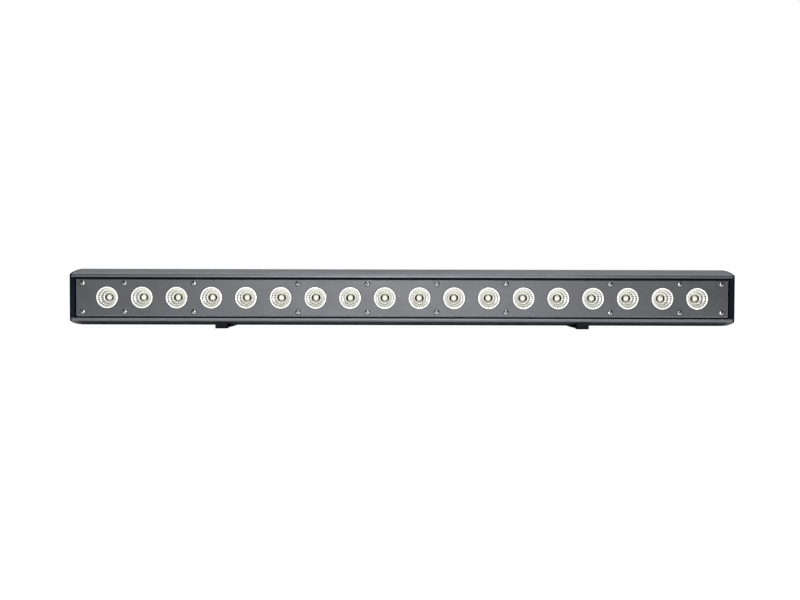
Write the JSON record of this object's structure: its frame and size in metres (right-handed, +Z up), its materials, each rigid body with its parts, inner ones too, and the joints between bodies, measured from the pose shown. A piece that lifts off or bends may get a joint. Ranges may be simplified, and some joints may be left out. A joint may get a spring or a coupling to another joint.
{
  "type": "led strip batten",
  "caption": "Long LED wash bar with a row of round lenses behind a screwed front plate, folding brackets with clamping knobs, and power and data sockets on its rear cover.",
  "frame": {"origin": "centre of the bounding box's underside, where its four rubber feet stand", "axes": "+X along the bar, to the right when the lenses are seen; the lenses face -Y; +Z is up"},
  "size_m": [1, 0.1, 0.0902],
  "materials": {
    "housing_finish": "satin",
    "panel_finish": "satin",
    "end_cap_finish": "satin",
    "screw_steel": "satin",
    "gasket_rubber": "matte",
    "lens_acrylic": "gloss",
    "tray_plastic": "matte",
    "led_board_white": "satin",
    "supply_case": "satin",
    "circuit_board": "satin",
    "cable_jacket": "matte",
    "socket_plastic": "satin",
    "socket_metal": "satin",
    "display_glazing": "gloss",
    "bracket_paint": "satin",
    "pad_rubber": "matte"
  },
  "bodies": {
    "bar": {"housing": "housing_finish", "front_panel": "panel_finish", "panel_gasket": "gasket_rubber", "upper_screw_strip": "screw_steel", "lower_screw_strip": "screw_steel", "end_cap_left": "end_cap_finish", "end_cap_right": "end_cap_finish", "power_supply": "supply_case", "control_board": "circuit_board", "wiring_harness": "cable_jacket", "rear_cover": "panel_finish", "power_inlet": "socket_plastic", "power_outlet": "socket_plastic", "display_window": "display_glazing", "dmx_inlet": "socket_metal", "dmx_outlet": "socket_metal", "safety_eye": "screw_steel", "lens_01": "lens_acrylic", "lens_02": "lens_acrylic", "lens_03": "lens_acrylic", "lens_04": "lens_acrylic", "lens_05": "lens_acrylic", "lens_06": "lens_acrylic", "lens_07": "lens_acrylic", "lens_08": "lens_acrylic", "lens_09": "lens_acrylic", "lens_10": "lens_acrylic", "lens_11": "lens_acrylic", "lens_12": "lens_acrylic", "lens_13": "lens_acrylic", "lens_14": "lens_acrylic", "lens_15": "lens_acrylic", "lens_16": "lens_acrylic", "lens_17": "lens_acrylic", "lens_18": "lens_acrylic", "lens_tray_left": "tray_plastic", "lens_tray_middle": "tray_plastic", "lens_tray_right": "tray_plastic", "led_board_left": "led_board_white", "led_board_middle": "led_board_white", "led_board_right": "led_board_white", "hinge_base_left": "bracket_paint", "hinge_base_right": "bracket_paint"},
    "fuse_drawer": {"fuse_drawer": "socket_plastic"},
    "dmx_latch": {"dmx_latch": "screw_steel"},
    "menu_button_1": {"menu_button_1": "socket_plastic"},
    "menu_button_2": {"menu_button_2": "socket_plastic"},
    "menu_button_3": {"menu_button_3": "socket_plastic"},
    "menu_button_4": {"menu_button_4": "socket_plastic"},
    "bracket_left": {"bracket_left": "bracket_paint", "bracket_nut_left": "screw_steel", "foot_pad_left_front": "pad_rubber", "foot_pad_left_rear": "pad_rubber"},
    "bracket_knob_left": {"bracket_knob_left": "socket_plastic"},
    "bracket_right": {"bracket_right": "bracket_paint", "bracket_nut_right": "screw_steel", "foot_pad_right_front": "pad_rubber", "foot_pad_right_rear": "pad_rubber"},
    "bracket_knob_right": {"bracket_knob_right": "socket_plastic"}
  },
  "joints": [
    {"name": "bracket_fold_left", "type": "hinge", "parent": "bar", "child": "bracket_left", "pos_m": [-0.273, 0.0385, 0.0136], "axis": [1, 0, 0], "range_deg": [0, 180]},
    {"name": "knob_turn_left", "type": "hinge", "parent": "bracket_left", "child": "bracket_knob_left", "pos_m": [-0.273, 0.0385, 0.0136], "axis": [1, 0, 0], "continuous": true},
    {"name": "bracket_fold_right", "type": "hinge", "parent": "bar", "child": "bracket_right", "pos_m": [0.273, 0.0385, 0.0136], "axis": [1, 0, 0], "range_deg": [0, 180]},
    {"name": "knob_turn_right", "type": "hinge", "parent": "bracket_right", "child": "bracket_knob_right", "pos_m": [0.273, 0.0385, 0.0136], "axis": [1, 0, 0], "continuous": true},
    {"name": "menu_button_1_press", "type": "slide", "parent": "bar", "child": "menu_button_1", "axis": [0, -1, 0], "range_m": [0, 0.0008], "stiffness_N_per_m": 1500, "springref_m": -0.0005},
    {"name": "menu_button_2_press", "type": "slide", "parent": "bar", "child": "menu_button_2", "axis": [0, -1, 0], "range_m": [0, 0.0008], "stiffness_N_per_m": 1500, "springref_m": -0.0005},
    {"name": "menu_button_3_press", "type": "slide", "parent": "bar", "child": "menu_button_3", "axis": [0, -1, 0], "range_m": [0, 0.0008], "stiffness_N_per_m": 1500, "springref_m": -0.0005},
    {"name": "menu_button_4_press", "type": "slide", "parent": "bar", "child": "menu_button_4", "axis": [0, -1, 0], "range_m": [0, 0.0008], "stiffness_N_per_m": 1500, "springref_m": -0.0005},
    {"name": "dmx_latch_press", "type": "slide", "parent": "bar", "child": "dmx_latch", "axis": [0, -1, 0], "range_m": [0, 0.0015], "stiffness_N_per_m": 1500, "springref_m": -0.001},
    {"name": "fuse_drawer_slide", "type": "slide", "parent": "bar", "child": "fuse_drawer", "axis": [0, 1, 0], "range_m": [0, 0.014]}
  ]
}
